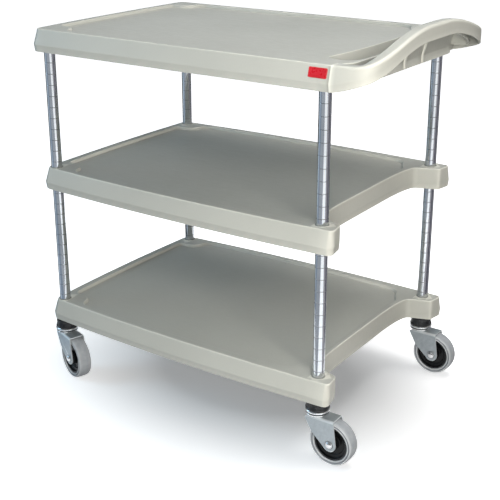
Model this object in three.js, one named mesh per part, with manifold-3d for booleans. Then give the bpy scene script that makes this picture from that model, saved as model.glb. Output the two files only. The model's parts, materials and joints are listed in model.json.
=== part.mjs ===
// Three-shelf food service trolley: moulded shelves on four grooved tube posts, with four swivel casters.
// Millimetres, +Z up. The origin is on the floor, under the middle of the trolley's outer box.
import * as THREE from 'three';
import { mergeVertices } from 'three/addons/utils/BufferGeometryUtils.js';
import Module from 'manifold-3d';

const wasm = await Module();
wasm.setup();

// Driving dimensions
const POST_SPACING = { x: 708, y: 495 };
const POST_RADIUS = 12.7;
const POST_WALL = 1.6;
const LEVELS = { bottom: 190, middle: 520, top: 838 };
const GAP = 0.3; // clearance left between pieces that touch

// Shelf section, measured down from the rim
const RIM_ROUND = 3;
const KINK_DROP = 34;
const SKIRT_DROP = 50;
const FLARE = 9;
const FOOT_FLARE = 6.6;
const WALL = 4;
const FIELD_DEPTH = 7;
const DECK_UNDERSIDE = 12;
const FIELD_DRAFT = 3;

// Tapered socket and split sleeve at each post
const SLEEVE = { topRadius: 14.3, bottomRadius: 15.8, proud: 1.2, drop: 42, slit: 1.6 };
const BOSS = { radius: 20.5, drop: 46 };
const BLIND_SOCKET_DROP = 8;

// Handle, tray and blank plate at the end of the top shelf
const HANDLE = { reach: 469.5, arm: 266, width: 28, wall: 3.5, topRise: 52, bottomRise: 71 };
const PLATE = { x: 350, drop: 16, width: 40, height: 19, corner: 3, thickness: 1.2 };
const TRAY = { floor: 38, wall: 3.5, nearX: 330, crownX: 343, farX: 396, halfWidth: 205, corner: 24 };

// Caster
const WHEEL = { radius: 50, halfWidth: 15.5, tyreInner: 38.8, rimInner: 34 };
const TRAIL = 40;
const FORK = { inner: 17, sheet: 2.6, top: 105, plate: 2.8, endRadius: 15.5, raceRadius: 26, hole: 6.5 };
const BEARING = { lowerTop: 111, upperBottom: 111.6, upperTop: 118.7, cupTop: 137.5, cupRadius: 25 };
const STEM = { pin: 6, head: 9, shank: 10.7, shankTop: 188 };
const AXLE = { radius: 4, headRadius: 7, bush: 6.4 };

const HALF_X = POST_SPACING.x / 2;
const HALF_Y = POST_SPACING.y / 2;

const COLOURS = {
  shelf: { color: 0xd3d2c6, roughness: 0.5, metalness: 0 },
  post: { color: 0xc9cdd2, roughness: 0.12, metalness: 1 },
  sleeve: { color: 0x8f918c, roughness: 0.55, metalness: 0 },
  plate: { color: 0xc4232c, roughness: 0.4, metalness: 0 },
  plated: { color: 0xb9bfc2, roughness: 0.3, metalness: 1 },
  cup: { color: 0x1c1c1e, roughness: 0.35, metalness: 0 },
  core: { color: 0x17181a, roughness: 0.45, metalness: 0 },
  tyre: { color: 0x9a9da2, roughness: 0.7, metalness: 0 },
};

const material = (kind) => new THREE.MeshStandardMaterial(COLOURS[kind]);

// ---- solids -------------------------------------------------------------------------------------

function solid(geometry) {
  const bare = geometry.clone();
  bare.deleteAttribute('normal');
  bare.deleteAttribute('uv');
  const merged = mergeVertices(bare, 1e-4);
  return new wasm.Manifold(new wasm.Mesh({
    numProp: 3,
    vertProperties: new Float32Array(merged.attributes.position.array),
    triVerts: new Uint32Array(merged.index.array),
  }));
}

function geometryOf(body) {
  const mesh = body.getMesh();
  const geometry = new THREE.BufferGeometry();
  geometry.setAttribute('position', new THREE.BufferAttribute(mesh.vertProperties.slice(), 3));
  geometry.setIndex(new THREE.BufferAttribute(mesh.triVerts.slice(), 1));
  return geometry;
}

// A closed body through rings of equal point count: flat faces close the first and last ring.
function loft(rings) {
  const count = rings[0].length;
  const positions = rings.flat().flatMap((p) => [p.x, p.y, p.z]);
  const index = [];
  for (let r = 0; r + 1 < rings.length; r++) {
    for (let i = 0; i < count; i++) {
      const j = (i + 1) % count;
      const [a, b, c, d] = [r * count + i, r * count + j, (r + 1) * count + i, (r + 1) * count + j];
      index.push(a, c, b, b, c, d);
    }
  }
  const cap = (ring, first, flip) => {
    const normal = new THREE.Vector3();
    ring.forEach((p, i) => normal.add(p.clone().cross(ring[(i + 1) % count])));
    const across = new THREE.Vector3().subVectors(ring[1], ring[0]).normalize();
    const up = new THREE.Vector3().crossVectors(normal.normalize(), across).normalize();
    const flat = ring.map((p) => new THREE.Vector2(p.dot(across), p.dot(up)));
    for (const [a, b, c] of THREE.ShapeUtils.triangulateShape(flat, [])) {
      index.push(...(flip ? [first + a, first + c, first + b] : [first + a, first + b, first + c]));
    }
  };
  cap(rings[0], 0, false);
  cap(rings.at(-1), (rings.length - 1) * count, true);
  const geometry = new THREE.BufferGeometry();
  geometry.setAttribute('position', new THREE.Float32BufferAttribute(positions, 3));
  geometry.setIndex(index);
  return geometry;
}

// A body of revolution about Z from [radius, z] pairs that close on the axis or on themselves.
function turned(profile, segments = 16) {
  const points = profile.map(([r, z]) => new THREE.Vector2(r, z));
  return new THREE.LatheGeometry(points, segments).rotateX(Math.PI / 2);
}

const ringProfile = (inner, outer, low, high) =>
  [[inner, low], [outer, low], [outer, high], [inner, high], [inner, low]];

const block = (size, centre) => new THREE.BoxGeometry(...size).translate(...centre);

// ---- outlines -----------------------------------------------------------------------------------

// Samples a half outline, given as [curve, divisions, flare at start, flare at end], and mirrors it in Y.
function mirroredOutline(half) {
  const points = [];
  for (const [curve, divisions, flareStart, flareEnd] of half) {
    for (let i = 0; i < divisions; i++) {
      const p = curve.getPoint(i / divisions);
      points.push({ x: p.x, y: p.y, flare: flareStart + (flareEnd - flareStart) * (i / divisions) });
    }
  }
  const last = half.at(-1);
  const end = last[0].getPoint(1);
  points.push({ x: end.x, y: end.y, flare: last[3] });
  const mirrored = points.slice(1, -1).reverse().map((p) => ({ ...p, y: -p.y }));
  return [...points, ...mirrored];
}

const v2 = (x, y) => new THREE.Vector2(x, y);
const line = (a, b) => new THREE.LineCurve(v2(...a), v2(...b));
const bend = (a, control, b) => new THREE.QuadraticBezierCurve(v2(...a), v2(...control), v2(...b));

// Moves each outline point out along its mitred normal by offset(point), at height z.
function offsetRing(outline, z, offset) {
  return outline.map((p, i) => {
    const before = outline[(i + outline.length - 1) % outline.length];
    const after = outline[(i + 1) % outline.length];
    const a = v2(p.x - before.x, p.y - before.y).normalize();
    const b = v2(after.x - p.x, after.y - p.y).normalize();
    const normal = v2(a.y + b.y, -(a.x + b.x)).normalize();
    const mitre = Math.max(0.6, normal.x * a.y - normal.y * a.x);
    const distance = offset(p) / mitre;
    return new THREE.Vector3(p.x + normal.x * distance, p.y + normal.y * distance, z);
  });
}

// Left end and long side, shared by all shelves: bow is how far the long side swells.
function endAndSide({ leftX, sideEndX, sideEndY, cornerY, bow }) {
  return [
    [bend([leftX, 0], [leftX, -130], [leftX + 6, -246]), 3, 1, 1],
    [bend([leftX + 6, -246], [leftX + 7, -cornerY], [leftX + 22, -cornerY - 1]), 4, 1, 1],
    [bend([leftX + 22, -cornerY - 1], [0, -cornerY - bow], [sideEndX, -sideEndY]), 7, 1, 1],
  ];
}

// Lower shelves: corner blocks stand out at the right, with a recessed end between them.
const lowerOutline = mirroredOutline([
  ...endAndSide({ leftX: -380, sideEndX: 381, sideEndY: 272, cornerY: 262, bow: 28 }),
  [bend([381, -272], [391, -271.5], [391, -260]), 3, 1, 0],
  [line([391, -260], [387, -236]), 1, 0, 0],
  [bend([387, -236], [385, -229], [378, -227.5]), 2, 0, 0],
  [line([378, -227.5], [344, -215]), 1, 0, 0],
  [bend([344, -215], [329, -209], [326, -188]), 4, 0, 0],
  [bend([326, -188], [320, -150], [320, -90]), 2, 0, 0],
  [line([320, -90], [320, 0]), 1, 0, 0],
]);

// Top shelf: a full-length end wall that leans in towards its foot, behind the handle.
const topOutline = mirroredOutline([
  ...endAndSide({ leftX: -386, sideEndX: 380, sideEndY: HANDLE.arm, cornerY: 264, bow: 4 }),
  [line([380, -HANDLE.arm], [382, -240]), 1, 1, 0],
  [bend([382, -240], [400, -238], [401, -205]), 4, 0, -0.9],
  [line([401, -205], [401, 0]), 1, -0.9, -0.9],
]);

// The sunken field: bowed sides, and corners that sweep round the posts.
function fieldOutline({ left, right, rightBow, side, sideBow, sweepX, sweepY }) {
  return mirroredOutline([
    [bend([left, 0], [left, -90], [left + 4, -side + sweepY + 12]), 2, 0, 0],
    [bend([left + 4, -side + sweepY + 12], [left + 10, -side + sweepY], [left + 30, -side + sweepY]), 2, 0, 0],
    [bend([left + 30, -side + sweepY], [left + sweepX, -side + sweepY], [left + sweepX + 6, -side + 18]), 3, 0, 0],
    [bend([left + sweepX + 6, -side + 18], [left + sweepX + 9, -side], [left + sweepX + 32, -side - 1]), 2, 0, 0],
    [bend([left + sweepX + 32, -side - 1], [0, -side - sideBow], [right - sweepX, -side - 1]), 5, 0, 0],
    [bend([right - sweepX, -side - 1], [right - 20, -side], [right - 17, -side + 26]), 3, 0, 0],
    [bend([right - 17, -side + 26], [right - 10, -side + sweepY], [right, -side + sweepY + 18]), 3, 0, 0],
    [bend([right, -side + sweepY + 18], [right + rightBow, -100], [right + rightBow, 0]), 2, 0, 0],
  ]);
}

// ---- shelves ------------------------------------------------------------------------------------

const postPlaces = [
  { name: 'front_left', x: -HALF_X, y: -HALF_Y },
  { name: 'back_left', x: -HALF_X, y: HALF_Y },
  { name: 'front_right', x: HALF_X, y: -HALF_Y },
  { name: 'back_right', x: HALF_X, y: HALF_Y },
];

// Open-bottomed shell: rounded rim, flared upper facet, upright lower facet, hollow underside.
function shelfShell(outline, rim) {
  const drop = (depth, offset) => offsetRing(outline, rim - depth, offset);
  return solid(loft([
    drop(0, () => -RIM_ROUND),
    drop(RIM_ROUND, () => 0),
    drop(KINK_DROP, (p) => p.flare * FLARE),
    drop(SKIRT_DROP, (p) => p.flare * FOOT_FLARE),
    drop(SKIRT_DROP, (p) => p.flare * FOOT_FLARE - WALL),
    drop(DECK_UNDERSIDE, () => -WALL - RIM_ROUND),
  ]));
}

function fieldCutter(outline, rim) {
  return solid(loft([
    offsetRing(outline, rim + 1, () => FIELD_DRAFT / FIELD_DEPTH),
    offsetRing(outline, rim - FIELD_DEPTH, () => -FIELD_DRAFT),
  ]));
}

const socketRadius = (depth) => {
  const slope = (SLEEVE.bottomRadius - SLEEVE.topRadius) / (SLEEVE.drop + SLEEVE.proud);
  return SLEEVE.topRadius + GAP + slope * (depth + SLEEVE.proud);
};

function addSockets(body, rim, blind) {
  const from = blind ? BLIND_SOCKET_DROP : -2;
  const to = BOSS.drop + 1;
  for (const { x, y } of postPlaces) {
    const boss = turned([[0, rim - BOSS.drop], [BOSS.radius - 1.5, rim - BOSS.drop], [BOSS.radius, rim - 9], [0, rim - 9]]);
    const socket = turned([[0, rim - to], [socketRadius(to), rim - to], [socketRadius(from), rim - from], [0, rim - from]]);
    body = body.add(solid(boss.translate(x, y, 0))).subtract(solid(socket.translate(x, y, 0)));
  }
  return body;
}

function lowerShelf(rim) {
  let body = shelfShell(lowerOutline, rim);
  const field = fieldOutline({
    left: -361, right: 312, rightBow: 0, side: 252, sideBow: 16, sweepX: 52, sweepY: 44,
  });
  body = body.subtract(fieldCutter(field, rim));
  return geometryOf(addSockets(body, rim, false));
}

// Height of the handle band's top and bottom edges, for s from 0 at the corner to 1 at mid-span.
const quarterWave = (t) => Math.sin((Math.PI / 2) * Math.min(1, Math.max(0, t)));
const bandTop = (s) => LEVELS.top + 1 + HANDLE.topRise * quarterWave((s - 0.14) / 0.78) ** 1.3;
const bandBottom = (s) => LEVELS.top - SKIRT_DROP + HANDLE.bottomRise * quarterWave(s / 0.86) ** 1.35;

// The band that leaves both corners, rises and crosses the end: an inverted channel, open below.
function handleBand() {
  const half = new THREE.CubicBezierCurve(
    v2(376, -HANDLE.arm), v2(481, -HANDLE.arm), v2(HANDLE.reach, -248), v2(HANDLE.reach, 0));
  const steps = 13;
  const stations = [];
  for (let i = 0; i <= steps; i++) {
    const t = i / steps;
    stations.push({ p: half.getPointAt(t), tangent: half.getTangentAt(t), s: t });
  }
  for (let i = steps - 1; i >= 0; i--) {
    const { p, tangent, s } = stations[i];
    stations.push({ p: v2(p.x, -p.y), tangent: v2(-tangent.x, tangent.y), s });
  }
  const w = HANDLE.width;
  const rings = stations.map(({ p, tangent, s }) => {
    const inward = v2(-tangent.y, tangent.x);
    const top = bandTop(s);
    const bottom = bandBottom(s);
    const inner = Math.min(top - 16, Math.max(bottom, top - 34));
    const lean = Math.max(0, 1 - s / 0.3);
    const foot = -FOOT_FLARE * lean;
    const knee = -FLARE * lean;
    const kink = Math.min(bottom + SKIRT_DROP - KINK_DROP, top - 14);
    const section = [
      [foot, bottom], [knee, kink], [0, top - 8], [2.5, top - 3], [8, top - 0.6], [15, top],
      [22, top - 1.6], [26.5, top - 6], [w, top - 13], [w, inner],
      [w - HANDLE.wall, inner], [w - HANDLE.wall - 1, top - 9], [HANDLE.wall + 1.5, top - 9],
      [knee + HANDLE.wall, kink - 1], [foot + HANDLE.wall, bottom],
    ];
    return section.map(([u, z]) => new THREE.Vector3(p.x + inward.x * u, p.y + inward.y * u, z));
  });
  return solid(loft(rings));
}

// Upright ridges on the end wall behind the handle, which follow its lean.
function endWallRidges(rim) {
  const levels = [{ drop: 3, x: 401 }, { drop: KINK_DROP, x: 393 }, { drop: SKIRT_DROP - 1, x: 394 }];
  return [-83, 0, 83].map((y) => solid(loft(levels.map(({ drop, x }) => [
    new THREE.Vector3(x - 3, y - 5, rim - drop),
    new THREE.Vector3(x + 3, y - 3, rim - drop),
    new THREE.Vector3(x + 3, y + 3, rim - drop),
    new THREE.Vector3(x - 3, y + 5, rim - drop),
  ]))));
}

// Plan of the tray pocket, grown by margin.
function trayOutline(margin) {
  const { nearX, crownX, farX, halfWidth: h, corner: c } = TRAY;
  const half = mirroredOutline([
    [bend([crownX, 0], [crownX, -110], [nearX, -h + 10]), 5, 0, 0],
    [bend([nearX, -h + 10], [nearX, -h], [nearX + 12, -h - 1]), 3, 0, 0],
    [bend([nearX + 12, -h - 1], [farX - c, -h - 16], [farX - 8, -h + 6]), 4, 0, 0],
    [bend([farX - 8, -h + 6], [farX, -h + 16], [farX, -h + c + 20]), 3, 0, 0],
    [line([farX, -h + c + 20], [farX, 0]), 1, 0, 0],
  ]);
  return (z, inset) => offsetRing(half, z, () => margin - inset);
}

function topShelf() {
  const rim = LEVELS.top;
  const field = fieldOutline({
    left: -367, right: 314, rightBow: 12, side: 247, sideBow: 4, sweepX: 52, sweepY: 44,
  });
  const outer = trayOutline(TRAY.wall);
  const inner = trayOutline(0);
  let body = shelfShell(topOutline, rim).subtract(fieldCutter(field, rim));
  body = addSockets(body, rim, true);
  for (const extra of [handleBand(), ...endWallRidges(rim)]) body = body.add(extra);
  body = body.add(solid(loft([outer(rim - 1, 0), outer(rim - TRAY.floor - TRAY.wall, 5)])));
  body = body.subtract(solid(loft([inner(rim + 4, -0.4), inner(rim - TRAY.floor, 5)])));
  return geometryOf(body);
}

// Blank plate that lies on the slanted upper facet of the long side, near the handle.
function blankPlate() {
  const { width: w, height: h, corner: c } = PLATE;
  const shape = new THREE.Shape();
  shape.moveTo(c - w / 2, -h / 2);
  shape.absarc(w / 2 - c, c - h / 2, c, -Math.PI / 2, 0);
  shape.absarc(w / 2 - c, h / 2 - c, c, 0, Math.PI / 2);
  shape.absarc(c - w / 2, h / 2 - c, c, Math.PI / 2, Math.PI);
  shape.absarc(c - w / 2, c - h / 2, c, Math.PI, Math.PI * 1.5);
  const facetDrop = KINK_DROP - RIM_ROUND;
  const tilt = Math.atan2(FLARE, facetDrop);
  const facetY = -HANDLE.arm - 0.5 - (FLARE * (PLATE.drop - RIM_ROUND)) / facetDrop;
  return new THREE.ExtrudeGeometry(shape, { depth: PLATE.thickness, bevelEnabled: false, curveSegments: 2 })
    .translate(0, 0, GAP)
    .rotateX(Math.PI / 2 - tilt)
    .translate(PLATE.x, facetY, LEVELS.top - PLATE.drop);
}

// ---- posts and sleeves --------------------------------------------------------------------------

const POST_BOTTOM = LEVELS.bottom - SKIRT_DROP + 1;
const POST_TOP = LEVELS.top - BLIND_SOCKET_DROP - 1;

function post() {
  return turned(ringProfile(POST_RADIUS - POST_WALL, POST_RADIUS, POST_BOTTOM, POST_TOP));
}

// Tapered sleeve, slit down one side, that wedges between a post and its socket.
function sleeve(rim, top, slitHeading) {
  const bore = POST_RADIUS + GAP;
  const low = rim - SLEEVE.drop;
  const radius = (z) => socketRadius(rim - z) - GAP;
  const ring = turned([[bore, low], [radius(low), low], [radius(top), top], [bore, top], [bore, low]]);
  const slit = block([10, SLEEVE.slit, SLEEVE.drop * 2 + 20], [15, 0, rim - SLEEVE.drop / 2]).rotateZ(slitHeading);
  return geometryOf(solid(ring).subtract(solid(slit)));
}

// ---- casters ------------------------------------------------------------------------------------

// Local frame: swivel axis on Z at the origin, wheel trailing towards +X.
function forkLeg(side) {
  const shape = new THREE.Shape();
  const { top, endRadius } = FORK;
  shape.moveTo(-20, top);
  shape.lineTo(-4, 71);
  shape.quadraticCurveTo(-1, 65, 8, 59);
  shape.lineTo(TRAIL - endRadius * 0.78, WHEEL.radius - endRadius * 0.63);
  shape.absarc(TRAIL, WHEEL.radius, endRadius, Math.PI * 1.22, Math.PI * 2, false);
  shape.lineTo(49, top - 6);
  shape.lineTo(48, top);
  shape.closePath();
  const leg = new THREE.ExtrudeGeometry(shape, { depth: FORK.sheet, bevelEnabled: false, curveSegments: 4 });
  const y = side > 0 ? FORK.inner + FORK.sheet : -FORK.inner;
  return solid(leg.rotateX(Math.PI / 2).translate(0, y, 0));
}

function fork() {
  const outerHalf = FORK.inner + FORK.sheet;
  const plate = block([68, 2 * outerHalf, FORK.plate], [14, 0, FORK.top - FORK.plate / 2]);
  const race = turned([
    [0, FORK.top - FORK.plate], [21, FORK.top - FORK.plate], [FORK.raceRadius, FORK.top + 1],
    [FORK.raceRadius, BEARING.lowerTop], [0, BEARING.lowerTop],
  ], 18);
  const hole = turned([[0, 90], [FORK.hole, 90], [FORK.hole, 120], [0, 120]], 12);
  const axleHole = turned([[0, -30], [AXLE.radius + GAP, -30], [AXLE.radius + GAP, 30], [0, 30]], 12)
    .rotateX(Math.PI / 2).translate(TRAIL, 0, WHEEL.radius);
  const body = solid(plate).add(forkLeg(1)).add(forkLeg(-1)).add(solid(race));
  return geometryOf(body.subtract(solid(hole)).subtract(solid(axleHole)));
}

// Turned about Z, then laid along Y on the axle's line.
const onAxle = (geometry) => geometry.rotateX(Math.PI / 2).translate(TRAIL, 0, WHEEL.radius);

function tyre() {
  const { radius: r, halfWidth: h, tyreInner: i } = WHEEL;
  return onAxle(turned([
    [i, -h + 2.5], [i + 3, -h], [r - 6, -h], [r, -h + 6], [r, h - 6], [r - 6, h], [i + 3, h], [i, h - 2.5],
    [i, -h + 2.5],
  ], 24));
}

function wheelCore() {
  const rim = WHEEL.tyreInner - GAP;
  const h = WHEEL.halfWidth;
  const bore = AXLE.bush + GAP;
  return onAxle(turned([
    [bore, -h], [13, -h], [14.5, -5], [WHEEL.rimInner - 1, -4], [WHEEL.rimInner, -h + 3],
    [rim, -h + 3], [rim, h - 3], [WHEEL.rimInner, h - 3], [WHEEL.rimInner - 1, 4], [14.5, 5],
    [13, h], [bore, h], [bore, -h],
  ], 24));
}

function axleBush() {
  return onAxle(turned(ringProfile(AXLE.radius + GAP, AXLE.bush, -FORK.inner + GAP, FORK.inner - GAP), 12));
}

// Domed bolt head on the right of the trail direction, threaded end on the left.
function axleBolt() {
  const face = FORK.inner + FORK.sheet + GAP;
  return onAxle(turned([
    [0, -face - 9.2], [AXLE.radius, -face - 9.2], [AXLE.radius, face], [AXLE.headRadius, face],
    [AXLE.headRadius - 0.8, face + 2.6], [3.6, face + 4.2], [0, face + 4.6],
  ], 12));
}

function axleNut() {
  const face = FORK.inner + FORK.sheet + GAP;
  const shape = new THREE.Shape();
  for (let i = 0; i < 6; i++) {
    const angle = (i * Math.PI) / 3;
    const corner = [7.6 * Math.cos(angle), 7.6 * Math.sin(angle)];
    if (i) shape.lineTo(...corner);
    else shape.moveTo(...corner);
  }
  shape.closePath();
  const hole = new THREE.Path();
  hole.absarc(0, 0, AXLE.radius + GAP, 0, Math.PI * 2, true);
  shape.holes.push(hole);
  const nut = new THREE.ExtrudeGeometry(shape, { depth: 6.2, bevelEnabled: false, curveSegments: 6 });
  return onAxle(nut.translate(0, 0, -face - 6.2));
}

// Shank in the post, shoulder under it, king pin down through the bearing to a head below the fork.
function casterStem() {
  const headLow = FORK.top - FORK.plate - GAP;
  return turned([
    [0, headLow - 3.4], [STEM.head - 1.5, headLow - 3.4], [STEM.head, headLow],
    [STEM.pin, headLow], [STEM.pin, BEARING.cupTop + GAP], [POST_RADIUS + 2, BEARING.cupTop + GAP],
    [POST_RADIUS + 2, POST_BOTTOM - GAP], [STEM.shank, POST_BOTTOM - GAP],
    [STEM.shank, STEM.shankTop], [0, STEM.shankTop],
  ], 14);
}

function bearingCup() {
  const { upperTop, cupTop, cupRadius } = BEARING;
  const bore = STEM.pin + GAP;
  return turned([
    [bore, upperTop + GAP], [cupRadius + 1, upperTop + GAP], [cupRadius - 1, cupTop - 4],
    [cupRadius - 3, cupTop], [bore, cupTop], [bore, upperTop + GAP],
  ], 16);
}

// Pressed upper race: a shallow dish whose channel holds the balls.
function upperRace() {
  const { upperBottom, upperTop } = BEARING;
  const r = FORK.raceRadius;
  const bore = STEM.pin + GAP;
  return turned([
    [bore, upperBottom + 4.4], [20, upperBottom + 4.4], [20, upperBottom], [r, upperBottom],
    [r + 0.7, upperTop - 1.5], [r - 0.8, upperTop], [bore, upperTop], [bore, upperBottom + 4.4],
  ], 16);
}

function ballRing() {
  const low = BEARING.lowerTop + GAP;
  const high = BEARING.upperBottom + 4.4 - GAP;
  return turned(ringProfile(14, 19, low, high), 12);
}

// ---- assembly -----------------------------------------------------------------------------------

const trolley = new THREE.Group();
trolley.position.x = -37.43; // puts the origin under the middle of the outer box

function addPiece(parent, name, geometry, kind) {
  const mesh = new THREE.Mesh(geometry, material(kind));
  mesh.name = name;
  parent.add(mesh);
  return mesh;
}

addPiece(trolley, 'bottom_shelf', lowerShelf(LEVELS.bottom), 'shelf');
addPiece(trolley, 'middle_shelf', lowerShelf(LEVELS.middle), 'shelf');
addPiece(trolley, 'top_shelf_and_handle', topShelf(), 'shelf');
addPiece(trolley, 'blank_plate', blankPlate(), 'plate');

// Caster headings in degrees from +X, as the trolley was last pushed.
const HEADINGS = { front_left: -20, back_left: 20, front_right: 0, back_right: 0 };

for (const { name, x, y } of postPlaces) {
  const corner = new THREE.Group();
  corner.position.set(x, y, 0);
  trolley.add(corner);
  addPiece(corner, `post_${name}`, post(), 'post');
  const inward = Math.atan2(-y, -x);
  for (const [level, rim] of Object.entries(LEVELS)) {
    const top = level === 'top' ? rim - BLIND_SOCKET_DROP - 1 : rim + SLEEVE.proud;
    addPiece(corner, `sleeve_${level}_${name}`, sleeve(rim, top, inward), 'sleeve');
  }
  addPiece(corner, `caster_stem_${name}`, casterStem(), 'plated');
  addPiece(corner, `bearing_cup_${name}`, bearingCup(), 'cup');
  addPiece(corner, `upper_race_${name}`, upperRace(), 'plated');
  addPiece(corner, `ball_ring_${name}`, ballRing(), 'plated');

  const swivel = new THREE.Group();
  swivel.rotation.z = THREE.MathUtils.degToRad(HEADINGS[name]);
  corner.add(swivel);
  addPiece(swivel, `fork_${name}`, fork(), 'plated');
  addPiece(swivel, `axle_bolt_${name}`, axleBolt(), 'plated');
  addPiece(swivel, `axle_nut_${name}`, axleNut(), 'plated');
  addPiece(swivel, `axle_bush_${name}`, axleBush(), 'plated');
  addPiece(swivel, `wheel_core_${name}`, wheelCore(), 'core');
  addPiece(swivel, `tyre_${name}`, tyre(), 'tyre');
}

export default trolley;
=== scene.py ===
"""Food service trolley: the detailed visual model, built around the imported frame.

Blender works in metres. Shelves and casters are drawn in millimetres, in a local frame of their own,
and placed by a matrix: shelves about the middle of the four posts, casters about their swivel axis.
"""
import json
import math

import bmesh
import bpy
from mathutils import Matrix, Vector


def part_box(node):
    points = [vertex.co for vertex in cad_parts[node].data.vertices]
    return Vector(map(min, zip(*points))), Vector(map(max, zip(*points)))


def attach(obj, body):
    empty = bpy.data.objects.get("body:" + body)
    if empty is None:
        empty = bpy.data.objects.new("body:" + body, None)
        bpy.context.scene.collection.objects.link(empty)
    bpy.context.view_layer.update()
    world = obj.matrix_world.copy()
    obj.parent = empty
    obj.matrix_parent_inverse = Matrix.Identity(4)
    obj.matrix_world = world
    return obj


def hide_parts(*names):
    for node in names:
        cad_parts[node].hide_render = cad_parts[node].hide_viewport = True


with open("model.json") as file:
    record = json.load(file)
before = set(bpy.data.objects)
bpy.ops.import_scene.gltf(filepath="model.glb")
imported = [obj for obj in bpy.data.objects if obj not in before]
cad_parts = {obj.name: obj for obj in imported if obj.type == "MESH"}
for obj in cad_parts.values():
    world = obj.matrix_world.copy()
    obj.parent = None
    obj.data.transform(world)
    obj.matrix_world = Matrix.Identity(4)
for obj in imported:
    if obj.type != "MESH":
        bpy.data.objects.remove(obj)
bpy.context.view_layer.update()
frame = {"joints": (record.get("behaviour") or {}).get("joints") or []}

MM = 0.001
CORNERS = ("front_left", "back_left", "front_right", "back_right")
JOINTS = {joint["name"]: joint for joint in frame["joints"]}


def middle_of(node):
    """The middle of a CAD node's box, in metres."""
    low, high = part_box(node)
    return (low + high) / 2


POSTS = {corner: middle_of(f"post_{corner}") for corner in CORNERS}
POSTS_MIDDLE_X = sum(post.x for post in POSTS.values()) / len(POSTS)
SHELF_PLACE = Matrix.Translation((POSTS_MIDDLE_X, 0, 0)) @ Matrix.Scale(MM, 4)
POST_HALF_X = (POSTS["front_right"].x - POSTS["front_left"].x) / 2 / MM
POST_HALF_Y = (POSTS["back_left"].y - POSTS["front_left"].y) / 2 / MM
TOP_ABOVE_BOTTOM = 648  # the top shelf's box ends at its handle, so its rim is counted from the bottom one
RIMS = {
    "bottom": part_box("bottom_shelf")[1].z / MM,
    "middle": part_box("middle_shelf")[1].z / MM,
    "top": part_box("bottom_shelf")[1].z / MM + TOP_ABOVE_BOTTOM,
}

# Shelf section: drops are down from the rim, flares are out from the outline
KINK_DROP = 34
SKIRT_DROP = 50
FLARE = 9
FOOT_FLARE = 6.6
WALL = 3.6
FIELD_DEPTH = 7
DECK_UNDERSIDE = 12
TRAY_DEPTH = 38

# Bosses and the tapered sockets in them
SOCKET_TOP = 14.6
SOCKET_BOTTOM = 16.2
BOSS_RADIUS = 19.8
BOSS_DROP = 46
BLIND_DROP = 8
SOCKET_SLOPE = (SOCKET_BOTTOM - SOCKET_TOP) / BOSS_DROP

# Handle: where it leaves the long sides, how far it stands out from them, and how far it reaches
HANDLE_ARM = 266
HANDLE_START = 376
HANDLE_PROUD = 0.6
HANDLE_REACH = 469.5
HANDLE_WIDTH = 28
HANDLE_WALL = 3.5

# Posts
POST_RADIUS = 12.7
POST_BORE = 11.1
INCH = 25.4  # pitch of the ring grooves
GROOVE_DEPTH = 0.35
GROOVE_HALF_WIDTH = 0.9

# Caster, in its own frame: swivel axis up Z, wheel trailing along +X
AXLE_AT = Vector((40, 0, 50))
AXLE_HOLE = 4.3
PIN_HOLE = 6.5
FORK_INNER = 17
FORK_SHEET = 2.6
FORK_OUTER = FORK_INNER + FORK_SHEET
FORK_TOP = 105
FORK_PLATE = 2.8
FORK_END_RADIUS = 15.5
FASTENER_GAP = 0.3  # between the fork's legs and the bolt's head or the nut
BALL_CIRCLE = 16.5
BALL_LEVEL = 113.4


# ---- mesh helpers ---------------------------------------------------------------------------------


def rounded(corners, closed=False):
    """A profile through (u, v, reach, steps) corners, each rounded off within reach of it."""
    out = []
    last = len(corners) - 1
    for i, (u, v, reach, steps) in enumerate(corners):
        here = Vector((u, v))
        if reach == 0 or (not closed and i in (0, last)):
            out.append(here)
            continue
        before = Vector(corners[i - 1][:2]) - here
        after = Vector(corners[(i + 1) % len(corners)][:2]) - here
        a = here + before.normalized() * min(reach, 0.48 * before.length)
        b = here + after.normalized() * min(reach, 0.48 * after.length)
        for k in range(steps + 1):
            t = k / steps
            out.append(a.lerp(here, t).lerp(here.lerp(b, t), t))
    return out


def bridge(bm, a, b):
    """Quads between two closed loops of equal point count."""
    for i in range(len(a)):
        j = (i + 1) % len(a)
        bm.faces.new((a[i], a[j], b[j], b[i]))


def skin(bm, rings):
    """Quads between neighbouring closed rings of equal point count. Returns the rings' vertices."""
    loops = [[bm.verts.new(point) for point in ring] for ring in rings]
    for a, b in zip(loops, loops[1:]):
        bridge(bm, a, b)
    return loops


def cap(bm, *loops):
    """A flat face inside the first loop, with the other loops as its holes."""
    edges = []
    for loop in loops:
        for i, vert in enumerate(loop):
            pair = (vert, loop[(i + 1) % len(loop)])
            edges.append(bm.edges.get(pair) or bm.edges.new(pair))
    bmesh.ops.triangle_fill(bm, use_beauty=True, use_dissolve=False, edges=edges)


def circle(radius, z, segments):
    """Points round the Z axis."""
    return [(radius * math.cos(a), radius * math.sin(a), z)
            for a in (2 * math.pi * i / segments for i in range(segments))]


def lathe(bm, profile, segments=64):
    """A body of revolution about Z from closed (radius, z) points; points on the axis close it."""
    rings = []
    for radius, z in profile:
        ring = circle(radius, z, segments) if radius > 0 else [(0, 0, z)]
        rings.append([bm.verts.new(point) for point in ring])
    pairs = list(zip(rings, rings[1:]))
    if len(rings[0]) > 1:
        pairs.append((rings[-1], rings[0]))
    for a, b in pairs:
        if len(a) > 1 and len(b) > 1:
            bridge(bm, a, b)
        else:
            tip, ring = (a, b) if len(a) == 1 else (b, a)
            for i in range(len(ring)):
                bm.faces.new((tip[0], ring[i], ring[(i + 1) % len(ring)]))


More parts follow.
